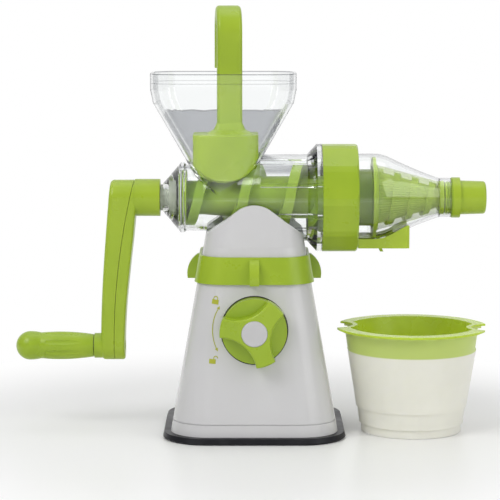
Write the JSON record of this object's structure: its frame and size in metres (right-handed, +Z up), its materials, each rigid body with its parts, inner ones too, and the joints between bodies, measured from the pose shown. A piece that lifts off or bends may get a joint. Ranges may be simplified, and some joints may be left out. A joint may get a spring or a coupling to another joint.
{
  "type": "manual wheatgrass juicer",
  "caption": "Hand-cranked wheatgrass juicer: clear hopper and barrel with auger and strainer cone on a white suction tower, with crank, pusher, locking collar and juice cup.",
  "frame": {"origin": "on the table at the middle of the rubber foot", "axes": "+X along the auger to the nozzle, -Y to the user and the knob, +Z up"},
  "size_m": [0.377, 0.144, 0.338],
  "materials": {
    "green_plastic": "moulded lime green plastic, soft gloss",
    "white_plastic": "moulded white plastic, gloss",
    "clear_plastic": "clear moulded plastic",
    "milky_plastic": "translucent milky plastic",
    "mesh_green": "fine strainer mesh",
    "black_rubber": "black suction rubber, satin",
    "dark_rubber": "dark seal rubber",
    "grey_plastic": "grey bearing plastic",
    "steel": "plain steel"
  },
  "bodies": {
    "base": {"suction_pad": "black_rubber", "base_plate": "white_plastic", "base_screws": "steel", "tower_shell": "white_plastic", "knob_seal": "dark_rubber", "knob_bush": "grey_plastic", "juicer_body": "clear_plastic", "shaft_bush": "grey_plastic", "rear_bearing": "grey_plastic", "shaft_seal": "dark_rubber", "flange_gasket": "dark_rubber", "nozzle_housing": "clear_plastic", "nozzle_neck": "clear_plastic", "strainer_collar": "mesh_green", "strainer": "mesh_green", "juice_tray": "green_plastic"},
    "crank": {"auger": "green_plastic", "drive_shaft": "steel", "crank_inner_shell": "green_plastic", "crank_outer_shell": "green_plastic", "crank_screw": "steel", "grip_pin": "steel"},
    "grip": {"crank_grip": "green_plastic"},
    "knob": {"knob": "green_plastic", "knob_cap": "white_plastic", "knob_shaft": "steel", "cam_disc": "grey_plastic", "cam_pin": "steel"},
    "lift_rod": {"pull_rod": "grey_plastic", "rod_foot": "steel"},
    "collar": {"lock_collar": "green_plastic"},
    "ring": {"screw_ring": "green_plastic"},
    "cap_thread": {"cap_seal": "dark_rubber"},
    "cap": {"cap_plug": "green_plastic", "pulp_cap": "green_plastic"},
    "pusher": {"pusher": "green_plastic"},
    "cup": {"cup_body": "milky_plastic", "cup_rim": "green_plastic"}
  },
  "joints": [
    {"name": "crank_spin", "type": "hinge", "parent": "base", "child": "crank", "pos_m": [-0.085, 0, 0.186], "axis": [1, 0, 0], "continuous": true},
    {"name": "grip_spin", "type": "hinge", "parent": "crank", "child": "grip", "pos_m": [-0.15, 0, 0.0666], "axis": [1, 0, 0], "continuous": true},
    {"name": "knob_turn", "type": "hinge", "parent": "base", "child": "knob", "pos_m": [0, -0.0512, 0.087], "axis": [0, -1, 0], "range_deg": [-28, 45]},
    {"name": "rod_lift", "type": "slide", "parent": "base", "child": "lift_rod", "axis": [0, 0, 1], "range_m": [-0.0046, 0.0029], "deforming": ["suction_pad"]},
    {"name": "collar_slide", "type": "slide", "parent": "base", "child": "collar", "axis": [0, 0, 1], "range_m": [0, 0.004]},
    {"name": "ring_turn", "type": "hinge", "parent": "base", "child": "ring", "pos_m": [0.0676, 0, 0.186], "axis": [1, 0, 0], "range_deg": [0, 40]},
    {"name": "cap_turn", "type": "hinge", "parent": "cap_thread", "child": "cap", "pos_m": [0.17, 0, 0.186], "axis": [1, 0, 0], "range_deg": [0, 720]},
    {"name": "cap_travel", "type": "slide", "parent": "base", "child": "cap_thread", "axis": [1, 0, 0], "range_m": [0, 0.0062]},
    {"name": "pusher_lift", "type": "slide", "parent": "base", "child": "pusher", "axis": [0, 0, 1], "range_m": [0, 0.1]},
    {"name": "cup_slide", "type": "slide", "parent": "base", "child": "cup", "axis": [0, -1, 0], "range_m": [0, 0.15]}
  ],
  "couplings": [
    {"joint": "rod_lift", "follows": "knob_turn", "m_per_rad": -0.00557},
    {"joint": "cap_travel", "follows": "cap_turn", "m_per_rad": 0.000477}
  ]
}
